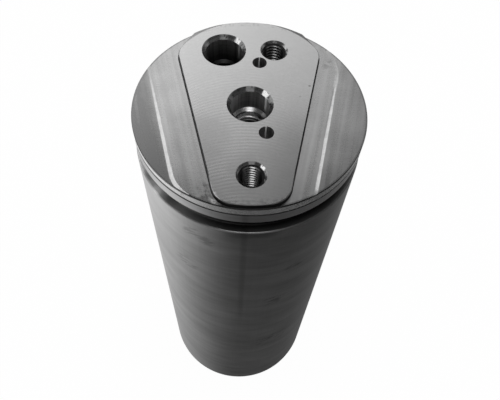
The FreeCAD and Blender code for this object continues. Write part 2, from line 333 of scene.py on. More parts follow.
@dataclass(frozen=True)
class MilledPad(Finish):
    """Face-milled pad: crescent feed marks that a wide cutter leaves, specks, dents, a nicked corner
    with a painted highlight, and painted shade towards the front.
    """

    cutter_radius: float = 31.0
    cutter_x: float = -1.5
    pitch: float = 1.2
    fine_share: float = 3.4
    depth: float = 0.0016
    speck: Spot = (19.4, 7.8, PAD_TOP)
    small_speck: Spot = (16.0, 3.3, PAD_TOP)
    nick_highlight: Spot = (-10.7, -33.2, PAD_TOP)

    def surface(self, graph: Graph) -> dict[str, object]:
        """Crescent marks, cloudy tone, specks, dents along the edge, the nicked corner's painted
        highlight and painted shade towards the front.

        Args:
            graph: The material's graph.

        Returns:
            Terms for the shader's sockets, by name.
        """
        place, x, y, _ = graph.point()
        cloud = graph.noise(place, 0.055, 4.0)
        wander = graph.noise(place, 0.16, 2.0)
        from_cutter = x - self.cutter_x
        along = y - (self.cutter_radius ** 2 - from_cutter * from_cutter).root() + wander * 0.8
        coarse = (along * (math.tau / self.pitch)).sine() * 0.5 + 0.5
        fine = (along * (math.tau * self.fine_share / self.pitch)).sine() * 0.5 + 0.5
        patch = graph.noise(place, 0.09, 2.0).step(0.36, 0.62)
        grain = graph.noise(graph.vector(x * 0.15, along, 0.0), 2.6, 3.0)
        clear = x.step(14.0, -4.0) * y.step(14.0, 2.0) * 0.75 + 0.25
        marks = coarse * clear * (patch * 0.55 + 0.15) + fine * 0.12 + grain * 0.22
        small = graph.near(place, self.small_speck, 0.45) * 0.5
        specks = graph.near(place, self.speck, 0.6).most(small)
        # Painted highlight on the nicked front corner of the pad.
        nick_highlight = graph.near(place, self.nick_highlight, 0.9)
        dents = graph.radius(x, y).step(34.6, 36.4) * graph.noise(place, 0.9, 2.0).step(0.5, 0.62)
        # Painted shade towards the front of the pad, stronger at the right.
        front_shade = x.step(2.0, 15.0) * y.step(2.0, -16.0) * 0.24
        front_shade = front_shade + x.step(-4.0, -15.0) * y.step(4.0, -8.0) * 0.10
        grit = graph.noise(place, 1.7, 2.0) - 0.5
        tone = (cloud - 0.5) * 0.18 + (marks - 0.35) * 0.24 + 0.48 - front_shade - dents * 0.22
        tone = tone - specks * 0.45 + nick_highlight * 0.5 + grit * 0.16
        return {
            "Base Color": graph.tone(tone, self.shade(0.55), self.shade(1.45)),
            "Roughness": (marks - 0.5) * 0.05 + (cloud - 0.5) * 0.08 + self.roughness,
            "Normal": graph.bump(marks, self.depth),
        }


@dataclass(frozen=True)
class LandFinish(Finish):
    """Base of the finishes on the lands, which are laid out from the pad's leaning sides."""

    pad_half_width: float = 19.0
    lean: float = 0.2309
    lean_cosine: float = 0.974
    left_track: float = 10.45
    right_track: float = 7.0

    def beside(self, x: Value, y: Value) -> Value:
        """Distance of a surface point from the pad's side, in millimetres."""
        return (abs(x) - y * self.lean - self.pad_half_width) * self.lean_cosine


@dataclass(frozen=True)
class MilledLand(LandFinish):
    """Side-milled land: long bands beside the pad, darker beyond the track, with painted shade there and
    at the flange's edge, and fine cross marks.
    """

    depth: float = 0.0012
    stain: Spot = (-13.0, -31.8, LAND_LEVEL)
    rear_stain: Spot = (27.2, 18.6, LAND_LEVEL)
    scuff: Spot = (-10.2, -34.4, LAND_LEVEL)

    def surface(self, graph: Graph) -> dict[str, object]:
        """Bands that run beside the pad, their fine cross marks, stains, a scuff, and painted shade
        beyond the track and at the flange's edge.

        Args:
            graph: The material's graph.

        Returns:
            Terms for the shader's sockets, by name.
        """
        place, x, y, _ = graph.point()
        left = x.step(0.5, -0.5)
        beside = self.beside(x, y)
        outside = beside - left * (self.left_track - self.right_track) - self.right_track
        banding = graph.noise(graph.vector(beside, y * 0.03, left * 9.0), 0.5, 3.0)
        cross = graph.noise(graph.vector(x * 0.25, y * 1.4, 0.0), 1.3, 3.0)
        cloud = graph.noise(place, 0.10, 4.0)
        stains = graph.near(place, self.stain, 4.5) * graph.noise(place, 0.55, 3.0).step(0.45, 0.62)
        darkening = graph.near(place, self.rear_stain, 4.0) * graph.noise(place, 0.4, 2.0).step(0.42, 0.6)
        scuffs = graph.near(place, self.scuff, 2.6) * graph.noise(place, 1.3, 2.0).step(0.48, 0.58)
        grit = graph.noise(place, 1.5, 2.0) - 0.5
        tone = 0.5 + (banding - 0.5) * 0.55 + (cross - 0.5) * 0.1 + (cloud - 0.5) * 0.35
        reach = graph.radius(x, y)
        # Darker towards the flange's edge, with a line of painted shade just inside its chamfer.
        rim = reach.step(30.0, 37.5) * 0.12 + reach.step(36.75, 37.15) * 0.32
        # Painted shade beyond the track, stronger at the left and towards the front.
        shaded = left * (0.14 + y.step(10.0, -18.0) * 0.16)
        tone = tone - outside.step(-0.6, 1.2) * (shaded + 0.14) - rim
        tone = tone - stains * 0.45 - darkening * 0.25 + scuffs * 0.6 + grit * 0.10
        return {
            "Base Color": graph.tone(tone, self.shade(0.45), self.shade(1.55)),
            "Roughness": (banding - 0.5) * 0.12 + (cross - 0.5) * 0.04 + self.roughness,
            "Normal": graph.bump(banding * 0.6 + cross * 0.4, self.depth),
        }


@dataclass(frozen=True)
class CutterTrack(LandFinish):
    """Polished bottom of the tracks between two milling passes, with a painted highlight, narrower and
    fainter to the rear.
    """

    depth: float = 0.006

    def surface(self, graph: Graph) -> dict[str, object]:
        """Close cross marks in the track, its ragged edges, its faded ends and the painted highlight
        along it.

        Args:
            graph: The material's graph.

        Returns:
            Terms for the shader's sockets, by name.
        """
        place, x, y, _ = graph.point()
        left = x.step(0.5, -0.5)
        right = 1.0 - left
        ticks = graph.noise(graph.vector(x * 0.2, y, 0.0), 2.2, 3.0)
        patches = graph.noise(place, 0.35, 3.0)
        across = abs(self.beside(x, y) - left * self.left_track - right * self.right_track)
        width = y.step(22.0, -16.0) * 0.42 + 0.14 + (patches - 0.5) * 0.3
        bent = (left * y.step(-21.0, -24.0)).most(right * y.step(7.0, 11.0))
        inside = ((width - across) * 4.0 + 0.5).most(0.0).least(1.0).most(bent)
        end = (y + (ticks - 0.5) * 4.0).step(-32.2, -29.8).most(left * 0.6)
        # Painted highlight along the track, fading to the rear.
        lit = y.step(19.0, 4.0) * inside * end
        tone = ((ticks - 0.5) * 0.6 + (patches - 0.5) * 0.6 + 0.16) * inside * end + lit * 0.72
        return {
            "Base Color": graph.tone(tone, self.shade(0.62), self.shade(1.0)),
            # The painted highlight also makes the track less metallic.
            "Metallic": 1.0 - tone.most(0.0).least(1.0) * 0.45,
            "Roughness": (ticks - 0.5) * 0.15 + self.roughness,
            "Normal": graph.bump(ticks, self.depth),
        }


@dataclass(frozen=True)
class Turned(Finish):
    """Cut with a turning tool: close rings round the axis, broken by small nicks."""

    ring_scale: float = 4.0
    ring_depth: float = 0.003
    ring_wander: float = 0.015

    def rings(self, graph: Graph, x: Value, y: Value, z: Value) -> Value:
        """Height of the rings round the axis, which wander a little with x and y."""
        along = graph.vector(x * self.ring_wander, y * self.ring_wander, z)
        return graph.noise(along, self.ring_scale, 3.0)


@dataclass(frozen=True)
class CutChamfer(Turned):
    """Chamfer or countersink at a hole's mouth, with a plain stretch in the rear thread's."""

    plain: Spot = (11.6, 26.7, 204.3)

    def surface(self, graph: Graph) -> dict[str, object]:
        """Rings that follow the height, nicks and cloudy tone.

        Args:
            graph: The material's graph.

        Returns:
            Terms for the shader's sockets, by name.
        """
        place, x, y, z = graph.point()
        rings = self.rings(graph, x, y, z)
        cloud = graph.noise(place, 0.12, 3.0)
        cuts = graph.noise(graph.vector(x, y, 0.0), 1.6, 2.0).step(0.55, 0.66)
        cuts = cuts * (1.0 - graph.near(place, self.plain, 2.2))
        tone = 0.6 + (rings - 0.5) * 0.9 + (cloud - 0.5) * 0.5 - cuts * 0.7
        return {
            "Base Color": graph.tone(tone, self.shade(0.25), self.shade(1.3)),
            "Roughness": (rings - 0.5) * 0.10 + (cloud - 0.5) * 0.12 + self.roughness,
            "Normal": graph.bump(rings, self.ring_depth),
        }


@dataclass(frozen=True)
class TurnedRim(Turned):
    """Turned side of the flange, with painted shade at its upper edge and in the groove at the joint
    with the can.
    """

    upper_edge: float = 202.8

    def surface(self, graph: Graph) -> dict[str, object]:
        """Rings, dents and the two lines of painted shade, which are wider at the left.

        Args:
            graph: The material's graph.

        Returns:
            Terms for the shader's sockets, by name.
        """
        place, x, y, z = graph.point()
        rings = self.rings(graph, x, y, z)
        cloud = graph.noise(place, 0.14, 3.0)
        ticks = graph.noise(graph.vector(x * 1.6, y * 1.6, z * 0.4), 0.8, 2.0).step(0.60, 0.70)
        # Painted shade: dark lines at the flange's upper edge and in the groove at the joint with the
        # can.
        wide = x.step(-10.0, -30.0) * 0.5
        lines = (z - wide).step(JOINT + 0.45, JOINT + 0.25)
        lines = lines.most((z + wide).step(self.upper_edge - 0.25, self.upper_edge))
        tone = (0.86 + (rings - 0.5) * 0.5 + (cloud - 0.5) * 0.4 - ticks * 0.3) * (1.0 - lines * 0.95)
        return {
            "Base Color": graph.tone(tone, self.shade(0.05), self.shade(1.25)),
            "Roughness": (rings - 0.5) * 0.10 + (cloud - 0.5) * 0.12 + self.roughness,
            "Normal": graph.bump(rings, self.ring_depth),
        }


@dataclass(frozen=True)
class PadWall(Finish):
    """Side of the pad and the groove at its foot: painted shade keeps them dark round the front, and
    they are lighter at the rear.
    """

    line_depth: float = 0.003
    rear_start: float = 25.0
    rear_end: float = 31.0
    nick_highlight: Spot = (-10.9, -33.6, 204.9)

    def surface(self, graph: Graph) -> dict[str, object]:
        """Fine cutter lines, painted shade that lifts at the rear, and painted highlights along the
        front's upper edge and at a nicked corner.

        Args:
            graph: The material's graph.

        Returns:
            Terms for the shader's sockets, by name.
        """
        place, x, y, z = graph.point()
        lines = graph.noise(graph.vector(x * 0.2, y * 0.2, z), 1.5, 3.0)
        # Painted shade darkens the wall and the groove except at the rear; painted highlights lie on the
        # nicked corner and along the front's upper edge.
        rear = y.step(self.rear_start, self.rear_end)
        nick_highlight = graph.near(place, self.nick_highlight, 1.2)
        edge = z.step(PAD_TOP - 0.45, PAD_TOP - 0.2) * y.step(-25.0, -31.0)
        tone = (lines - 0.5) * 0.06 + 0.07 + rear * 0.55 + nick_highlight * 0.9 + edge * 0.7
        return {
            "Base Color": graph.tone(tone, self.shade(0.02), self.shade(1.0)),
            "Roughness": (lines - 0.5) * 0.12 + self.roughness,
            "Normal": graph.bump(lines, self.line_depth),
        }


@dataclass(frozen=True)
class Bored(Finish):
    """Bored wall: close rings, faint lengthwise streaks, painted shade deep in the side port, below its
    ledge and down the passages, and painted highlights down the walls.

    The centre port's cone and the step below it are smoother and painted lighter as a highlight, with a
    painted dark line at the step and their edges rolled over.
    """

    port_radius: float = 6.3
    cone_top: float = 196.0
    step_top: float = 194.4
    step_foot: float = 192.4
    passage_radius: float = 4.1
    glint_x: float = 5.2

    def surface(self, graph: Graph) -> dict[str, object]:
        """Rings, streaks, painted shade deep in the ports, the smoother cone, and painted highlights on
        the cone and the walls.

        Args:
            graph: The material's graph.

        Returns:
            Terms for the shader's sockets, by name.
        """
        place, x, y, z = graph.point()
        rings = graph.noise(graph.vector(x * 0.02, y * 0.02, z), 3.0, 3.0)
        streaks = graph.noise(graph.vector(x, y, z * 0.03), 1.1, 2.0)
        # Painted shade, deeper down the side port.
        darkening = graph.near(place, (*INLET, 188.0), 17.0)
        side = y.step(14.0, 16.0)
        port_x = x - side * INLET[0]
        port_y = y - side * INLET[1]
        wall = graph.radius(port_x, port_y)
        foot = z.step(self.step_foot - 0.5, self.step_foot - 0.1)
        centre = graph.radius(x, y).step(self.port_radius + 0.3, self.port_radius + 0.1)
        centre = centre * foot * z.step(self.cone_top + 0.3, self.cone_top)
        cone = (self.cone_top - z).most(0.0).least(self.cone_top - self.step_top)
        rolled = centre * (cone * 0.5 + (self.step_top - z).most(0.0).least(1.2) * 0.3)
        # Painted shade: a dark line at the step in the centre port.
        line = centre * abs(z - self.step_top - 0.1).step(0.22, 0.1)
        # Painted shade below the side port's ledge.
        ledge = z.step(self.step_top + 0.5, self.step_top) * side
        # Painted shade down the passages below the step.
        deep = wall.step(self.passage_radius + 0.3, self.passage_radius + 0.1)
        deep = deep * z.step(self.step_foot + 0.1, self.step_foot - 0.1)
        # Painted highlight down the port walls.
        glint = abs(port_x - self.glint_x).step(0.42, 0.1) * port_y.step(2.0, 2.6)
        glint = glint * abs(wall - self.port_radius).step(0.4, 0.2) * z.step(197.0, 198.5)
        glint = glint * (1.0 - side * 0.5) * (streaks * 1.2 + 0.2)
        # Painted highlights: lines down the locating holes, and patches on the centre port's cone and
        # step.
        pins = self.pin_line(graph, place, x, REAR_PIN) + self.pin_line(graph, place, x, FRONT_PIN)
        lit = abs(x).step(3.2, 0.6) * z.step(194.7, 195.2) * 0.8
        lit = lit + z.step(194.3, 194.0) * abs(x + 1.0).step(5.5, 1.0) * 0.45
        lit = lit * centre + pins * 1.2 + glint
        # The centre port's cone is painted lighter as a highlight.
        tone = 0.42 + (rings - 0.5) * 0.4 + (streaks - 0.5) * 0.8 + centre * 0.4 + lit * 0.8
        tone = tone * (1.0 - darkening * 0.9) * (1.0 - line * 0.9)
        tone = tone * (1.0 - ledge * 0.75) * (1.0 - deep * 0.95)
        return {
            "Base Color": graph.tone(tone, self.shade(0.05), self.shade(1.25)),
            # The painted highlights also make those places less metallic.
            "Metallic": 1.0 - lit.most(0.0).least(1.0) * 0.6,
            "Roughness": (rings - 0.5) * 0.1 + self.roughness - centre * 0.2,
            "Normal": graph.bump(rings * 0.002 + rolled, 1.0),
        }

    @staticmethod
    def pin_line(graph: Graph, place: bpy.types.NodeSocket, x: Value, pin: tuple[float, float]) -> Value:
        """Painted highlight: a light line down the far wall of one locating hole."""
        far_wall = (pin[0], pin[1] + 2.3, 203.0)
        return abs(x - pin[0]).step(0.30, 0.08) * graph.near(place, far_wall, 6.0)


@dataclass(frozen=True)
class CutThread(Finish):
    """Tapped thread: bright crests in the middle of each hole's wall, with painted shade and more
    roughness elsewhere.
    """

    line_depth: float = 0.002
    crest_end: float = 3.55
    root_start: float = 3.85

    def surface(self, graph: Graph) -> dict[str, object]:
        """Fine turned lines, and painted shade at the sides, at the top and in the roots.

        Args:
            graph: The material's graph.

        Returns:
            Terms for the shader's sockets, by name.
        """
        place, x, y, z = graph.point()
        lines = graph.noise(graph.vector(x, y, z * 3.0), 1.2, 3.0)
        aside = abs(x - FRONT_THREAD[0]).least(abs(x - REAR_THREAD[0]))
        front = graph.radius(x - FRONT_THREAD[0], y - FRONT_THREAD[1])
        rear = graph.radius(x - REAR_THREAD[0], y - REAR_THREAD[1])
        # Painted shade at the hole's sides, near its top and in the roots, which are also rougher.
        thread_shade = aside.step(1.3, 3.0).most(z.step(203.4, 204.0))
        thread_shade = thread_shade.most(front.least(rear).step(self.crest_end, self.root_start))
        tone = (0.52 + (lines - 0.5) * 0.5) * (1.0 - thread_shade * 0.95)
        return {
            "Base Color": graph.tone(tone, self.shade(0.02), self.shade(1.2)),
            "Roughness": (lines - 0.5) * 0.10 + thread_shade * 0.5 + self.roughness,
            "Normal": graph.bump(lines, self.line_depth),
        }


@dataclass(frozen=True)
class DrawnCan(Finish):
    """Drawn can: satin, with faint rings, wiped smears and smudges, and painted light, shade and
    reflections round the neck and down the front.
    """

    neck_foot: float = 188.9
    neck_top: float = 195.3
    # Painted reflection: where the faint dark band down the can's front lies.
    reflection_band_x: float = -1.8
    depth: float = 0.006
    smudges: tuple[tuple[Spot, float], ...] = (
        ((-18.5, -33.0, 181.0), 5.5), ((-13.8, -35.2, 178.6), 4.5), ((-21.7, -31.0, 153.8), 6.5),
        ((17.1, -33.7, 155.8), 5.0), ((14.2, -35.1, 72.0), 12.0), ((11.0, -36.0, 127.5), 8.0),
    )
    # Painted reflections: dark patches on the neck's shoulder at the left.
    neck_dark_reflections: tuple[tuple[Spot, float], ...] = (
        ((-33.0, -17.0, 191.8), 4.5), ((-25.5, -26.0, 192.0), 5.0),
    )
    # Painted highlight: a light patch on the neck at the left.
    neck_highlight: Spot = (-29.8, -22.6, 190.4)

    def surface(self, graph: Graph) -> dict[str, object]:
        """Rings, smears, lengthwise grain and smudges, with painted light, shade and reflections on the
        lip, the neck and the can's front.

        Args:
            graph: The material's graph.

        Returns:
            Terms for the shader's sockets, by name.
        """
        place, x, y, z = graph.point()
        rings = graph.noise(graph.vector(x * 0.02, y * 0.02, z), 0.55, 4.0)
        fine = graph.noise(graph.vector(x * 0.05, y * 0.05, z), 3.0, 2.0)
        smear = graph.noise(graph.vector(x * 0.05, y * 0.05, z * 0.16 + x * 0.03), 1.0, 3.0)
        grain = graph.noise(graph.vector(x, y, z * 0.02), 2.0, 2.0)
        cloud = graph.noise(place, 0.035, 3.0)
        slanted = graph.vector(x * 0.25 + z * 0.1, y * 0.25, z - x * 0.35)
        rubbed = self.spots(graph, place, self.smudges) * graph.noise(slanted, 0.8, 3.0).step(0.46, 0.60)
        front = y.step(-20.0, -34.0)
        collar = z.step(self.neck_top - 0.2, self.neck_top + 0.2)
        # Painted highlight: a light band along the shoulder's rounding at the front.
        edge = z.step(self.neck_foot - 0.4, self.neck_foot - 0.2)
        edge = edge * z.step(self.neck_foot + 0.4, self.neck_foot + 0.1) * abs(x + 2.0).step(16.0, 6.0)
        tone = 0.545 + (rings - 0.5) * 0.2 + (fine - 0.5) * 0.08 + (smear - 0.5) * 0.36
        tone = tone + (grain - 0.5) * 0.08 + (cloud - 0.5) * 0.22 + edge * 0.5
        # The lip is painted lighter, more at the right, with painted shade at the far left.
        tone = tone + collar * (x.step(8.0, 28.0) * 0.22 + 0.17 - x.step(-24.0, -34.0) * 0.25)
        # Painted light on the can's upper left, and darker rubbed smudges.
        tone = tone + z.step(158.0, 184.0) * x.step(-4.0, -20.0) * 0.12 - rubbed * 0.20
        # Painted shade in the neck groove, deepest at the front and the right.
        neck = z.step(self.neck_foot, self.neck_foot + 0.5)
        neck = neck * z.step(self.neck_top + 0.2, self.neck_top - 0.2)
        neck = neck * ((x * 0.8 - y * 0.6).step(-12.0, 20.0) * 0.85 + 0.15)
        # Painted shade on the lip just below the joint with the head.
        joint = z.step(JOINT - 0.45, JOINT - 0.25)
        shadow = z.step(183.5, 187.5) * z.step(self.neck_foot, self.neck_foot - 0.3)
        shadow = shadow * abs(x - 1.0).step(11.0, 4.0) * front
        # Painted reflection: a faint dark band down the can's front.
        reflection_band = abs(x - self.reflection_band_x).step(1.8, 0.2) * z.step(95.0, 135.0) * front
        # Painted reflections: dark patches on the shoulder below the neck at the left.
        dark_reflections = self.spots(graph, place, self.neck_dark_reflections) * z.step(188.2, 189.6)
        tone = tone * (1.0 - neck) * (1.0 - joint * 0.9)
        tone = tone * (1.0 - shadow * 0.5) * (1.0 - reflection_band * 0.22) * (1.0 - dark_reflections * 0.9)
        # Painted highlight: a light patch on the neck at the left.
        tone = tone + graph.near(place, self.neck_highlight, 2.8) * 0.5
        rough = (rings - 0.5) * 0.08 + (smear - 0.5) * 0.10 + (cloud - 0.5) * 0.08
        return {
            "Base Color": graph.tone(tone, self.shade(0.04), self.shade(1.8)),
            "Roughness": rough + self.roughness,
            "Normal": graph.bump(rings * 0.5 + fine * 0.2 + grain * 0.3, self.depth),
        }

    @staticmethod
    def spots(graph: Graph, place: bpy.types.NodeSocket,
              marks: tuple[tuple[Spot, float], ...]) -> Value:
        """Joins several soft round spots.

        Args:
            graph: The material's graph.
            place: The surface point.
            marks: Each spot's middle and radius.

        Returns:
            1 in the middle of any spot and 0 outside them all.
        """
        reaches = [graph.near(place, spot, radius) for spot, radius in marks]
        joined = reaches[0]
        for reach in reaches[1:]:
            joined = joined.most(reach)
        return joined


@dataclass(frozen=True)
class Rubber(Finish):
    """Moulded rubber: matt, with a faint bloom."""

    def surface(self, graph: Graph) -> dict[str, object]:
        """Bloom and moulded grain.

        Args:
            graph: The material's graph.

        Returns:
            Terms for the shader's sockets, by name.
        """
        place = graph.place()
        bloom = graph.noise(place, 0.3, 3.0)
        grain = graph.noise(place, 6.0, 2.0)
        return {
            "Base Color": graph.tone(bloom, self.shade(0.7), self.shade(1.6)),
            "Roughness": (bloom - 0.5) * 0.2 + self.roughness,
            "Normal": graph.bump(grain, 0.01),
        }


@dataclass(frozen=True)
class RolledMetal(Finish):
    """Plain drawn or pressed metal of the inner pieces: lengthwise grain and cloudy tone."""

    grain_x: float = 1.0
    grain_z: float = 0.05

    def surface(self, graph: Graph) -> dict[str, object]:
        """Grain along the piece, with an oily cloud.

        Args:
            graph: The material's graph.

        Returns:
            Terms for the shader's sockets, by name.
        """
        place, x, y, z = graph.point()
        grain = graph.noise(graph.vector(x * self.grain_x, y * self.grain_x, z * self.grain_z), 2.0, 3.0)
        cloud = graph.noise(place, 0.2, 3.0)
        tone = 0.5 + (grain - 0.5) * 0.5 + (cloud - 0.5) * 0.5
        return {
            "Base Color": graph.tone(tone, self.shade(0.75), self.shade(1.2)),
            "Roughness": (cloud - 0.5) * 0.2 + self.roughness,
            "Normal": graph.bump(grain, 0.01),
        }


@dataclass(frozen=True)
class Felt(Finish):
    """Needled felt: tangled fibres."""

    def surface(self, graph: Graph) -> dict[str, object]:
        """Fibres and needle marks.

        Args:
            graph: The material's graph.

        Returns:
            Terms for the shader's sockets, by name.
        """
        place = graph.place()
        fibres = graph.noise(place, 2.4, 8.0)
        cloud = graph.noise(place, 0.25, 3.0)
        return {
            "Base Color": graph.tone(fibres * 0.6 + cloud * 0.4, self.shade(0.75), self.shade(1.1)),
            "Roughness": (fibres - 0.5) * 0.1 + self.roughness,
            "Normal": graph.bump(fibres, 0.25),
        }


@dataclass(frozen=True)
class Beads(Finish):
    """Packed desiccant beads, each with its own tone, and painted shade in the gaps between them."""

    bead_size: float = 2.2

    def surface(self, graph: Graph) -> dict[str, object]:
        """Round beads as cells.

        Args:
            graph: The material's graph.

        Returns:
            Terms for the shader's sockets, by name.
        """
        place = graph.place()
        inputs = {"Vector": place, "Scale": 1 / self.bead_size, "Randomness": 0.7}
        cells = graph.node("ShaderNodeTexVoronoi", None, inputs)
        gap = Value(graph, cells.outputs["Distance"])
        hue = graph.node("ShaderNodeSeparateXYZ", None, {0: cells.outputs["Color"]})
        # Painted shade darkens each bead towards the gaps between them.
        tone = Value(graph, hue.outputs[0]) * 0.5 + gap.step(0.75, 0.2) * 0.5
        return {
            "Base Color": graph.tone(tone, self.shade(0.55), self.shade(1.15)),
            "Normal": graph.bump(gap.step(0.8, 0.0), 0.9),
        }


HEAD_FINISHES: dict[Zone, Finish] = {
    Zone.PAD: MilledPad("milled_pad", grey(0.68), 1.0, 0.26),
    Zone.LAND: MilledLand("milled_land", grey(0.64), 1.0, 0.28),
    Zone.TRACK: CutterTrack("cutter_track", grey(0.95), 1.0, 0.42),
    Zone.RIM: TurnedRim("turned_rim", grey(0.80), 0.95, 0.24),
    Zone.BORE: Bored("bored_hole", grey(0.80), 1.0, 0.42),
    Zone.CHAMFER: CutChamfer("cut_chamfer", grey(0.72), 1.0, 0.15, 2.2, 0.002),
    Zone.WALL: PadWall("milled_wall", grey(0.80), 1.0, 0.36),
}
CAN_FINISH = DrawnCan("drawn_can", grey(0.50), 1.0, 0.34)
THREAD_FINISH = CutThread("cut_thread", grey(0.80), 1.0, 0.20)

INNER_FINISHES: dict[str, Finish] = {
    "head_seal": Rubber("seal_rubber", (0.02, 0.035, 0.028), 0.0, 0.5),
    "pickup_tube": RolledMetal("drawn_tube", grey(0.62), 1.0, 0.3),
    "tube_strainer": RolledMetal("pressed_strainer", grey(0.5), 1.0, 0.35),
    "lower_plate": RolledMetal("pressed_stand", grey(0.45), 1.0, 0.38, 0.5, 0.3),
    "upper_plate": RolledMetal("pressed_plate", grey(0.45), 1.0, 0.38, 0.5, 0.3),
    "compression_spring": RolledMetal("spring_wire", grey(0.33), 1.0, 0.32, 0.4, 1.5),
    "lower_filter": Felt("needled_felt_low", (0.72, 0.70, 0.62), 0.0, 0.95),
    "upper_filter": Felt("needled_felt_high", (0.72, 0.70, 0.62), 0.0, 0.95),
    "desiccant_bed": Beads("desiccant_beads", (0.62, 0.52, 0.38), 0.0, 0.7),
}


def mesh_object(name: str, mesh: bmesh.types.BMesh, finishes: Iterable[bpy.types.Material],
                sharp_angle: float) -> bpy.types.Object:
    """Makes a piece out of a bmesh: smooth faces with creases where they meet at an angle.

    Args:
        name: The piece's name.
        mesh: The bmesh, in metres, which is freed.
        finishes: The materials, in the order of the faces' indexes.
        sharp_angle: Creases are set above this angle, in degrees.

    Returns:
        The new object.
    """
    limit = math.radians(sharp_angle)
    for edge in mesh.edges:
        edge.smooth = edge.is_manifold and edge.calc_face_angle(0.0) < limit
    for face in mesh.faces:
        face.smooth = True
    data = bpy.data.meshes.new(name)
    mesh.to_mesh(data)
    mesh.free()
    for finish in finishes:
        data.materials.append(finish)
    piece = bpy.data.objects.new(name, data)
    bpy.context.scene.collection.objects.link(piece)
    even = piece.modifiers.new("even_normals", "WEIGHTED_NORMAL")
    even.keep_sharp = True
    even.weight = 100
    return piece


def rounded(before: tuple[float, float], corner: tuple[float, float], after: tuple[float, float],
            radius: float, steps: int) -> Profile:
    """Points of the arc that rounds one corner of a profile.

    Args:
        before: The profile's point before the corner.
        corner: The corner.
        after: The point after it.
        radius: The arc's radius.
        steps: How many stretches the arc has.

    Returns:
        The arc's points, from one tangent point to the other.
    """
    middle = Vector(corner)
    back = (Vector(before) - middle).normalized()
    ahead = (Vector(after) - middle).normalized()
    half = back.angle(ahead) / 2
    centre = middle + (back + ahead).normalized() * (radius / math.sin(half))
    start = middle + back * (radius / math.tan(half)) - centre
    end = middle + ahead * (radius / math.tan(half)) - centre
    sweep = start.angle_signed(end)
    turned = [start.copy() for _ in range(steps + 1)]
    for index, spoke in enumerate(turned):
        spoke.rotate(Matrix.Rotation(-sweep * index / steps, 2))
    return [tuple(centre + spoke) for spoke in turned]


@dataclass
class Canister:
    """The drawn can: floor, wall, rolled neck and lip, turned from one profile."""

    radius: float = 37.85
    wall: float = 2.0
    floor: float = 3.0
    base_corner: float = 6.0
    dish_radius: float = 27.0
    dish_slope: float = 3.0
    dish_depth: float = 0.8
    lip_radius: float = 37.5
    lip_height: float = 4.55
    lip_chamfer: float = 0.2
    neck_radius: float = 34.5
    neck_opening: float = 6.45
    neck_drop: float = 0.25
    lip_edge: float = 0.6
    neck_root: float = 1.0
    shoulder: float = 0.5
    bulge_corner: float = 2.4
    dish_corner: float = 0.8
    sharp_angle: float = 32.0
    segments: int = 240
    corner_steps: int = 8

    def corners(self) -> list[tuple[float, ...]]:
        """Corners of the section, each with its rounding where it has one.

        Returns:
            The corners, from the dish's middle up the outside and down the inside.
        """
        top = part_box("canister")[1].z / MM
        lip_foot = top - self.lip_height
        flank = lip_foot - self.neck_opening + self.shoulder
        bulge = self.neck_radius - self.wall
        bulge_top = lip_foot - self.neck_drop + self.wall
        bulge_foot = flank - self.wall
        bore = self.radius - self.wall
        mouth = self.lip_radius - self.wall
        return [
            (0.0, self.dish_depth),
            (self.dish_radius - self.dish_slope, self.dish_depth, self.dish_corner),
            (self.dish_radius, 0.0, self.dish_corner),
            (self.radius, 0.0, self.base_corner),
            (self.radius, flank, self.shoulder),
            (self.neck_radius, flank + self.neck_drop, self.neck_root),
            (self.neck_radius, lip_foot - self.neck_drop, self.neck_root),
            (self.lip_radius, lip_foot, self.lip_edge),
            (self.lip_radius, top - self.lip_chamfer),
            (self.lip_radius - self.lip_chamfer, top),
            (mouth, top),
            (mouth, bulge_top),
            (bulge, bulge_top, self.bulge_corner),
            (bulge, bulge_foot, self.bulge_corner),
            (bore, bulge_foot),
            (bore, self.floor, self.base_corner - self.wall),
            (0.0, self.floor),
        ]

    def profile(self) -> Profile:
        """The section's points, with its corners rounded.

        Returns:
            The points, in millimetres.
        """
        corners = self.corners()
        points: Profile = []
        for index, corner in enumerate(corners):
            if len(corner) == 3:
                before = corners[index - 1][:2]
                after = corners[index + 1][:2]
                points += rounded(before, corner[:2], after, corner[2], self.corner_steps)
            else:
                points.append(corner)
        return points

    def build(self) -> bpy.types.Object:
        """Spins the can and dresses it.

        Returns:
            The can's piece.
        """
        mesh = bmesh.new()
        spots = [mesh.verts.new((r * MM, 0.0, z * MM)) for r, z in self.profile()]
        edges = [mesh.edges.new(pair) for pair in zip(spots, spots[1:])]
        bmesh.ops.spin(mesh, geom=spots + edges, cent=(0, 0, 0), axis=(0, 0, 1), dvec=(0, 0, 0),
                       angle=math.tau, steps=self.segments, use_merge=True)
        bmesh.ops.remove_doubles(mesh, verts=mesh.verts, dist=MERGE_GAP)
        bmesh.ops.recalc_face_normals(mesh, faces=mesh.faces)
        piece = mesh_object("can_shell", mesh, [CAN_FINISH.material()], self.sharp_angle)
        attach(piece, "root")
        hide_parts("canister")
        return piece


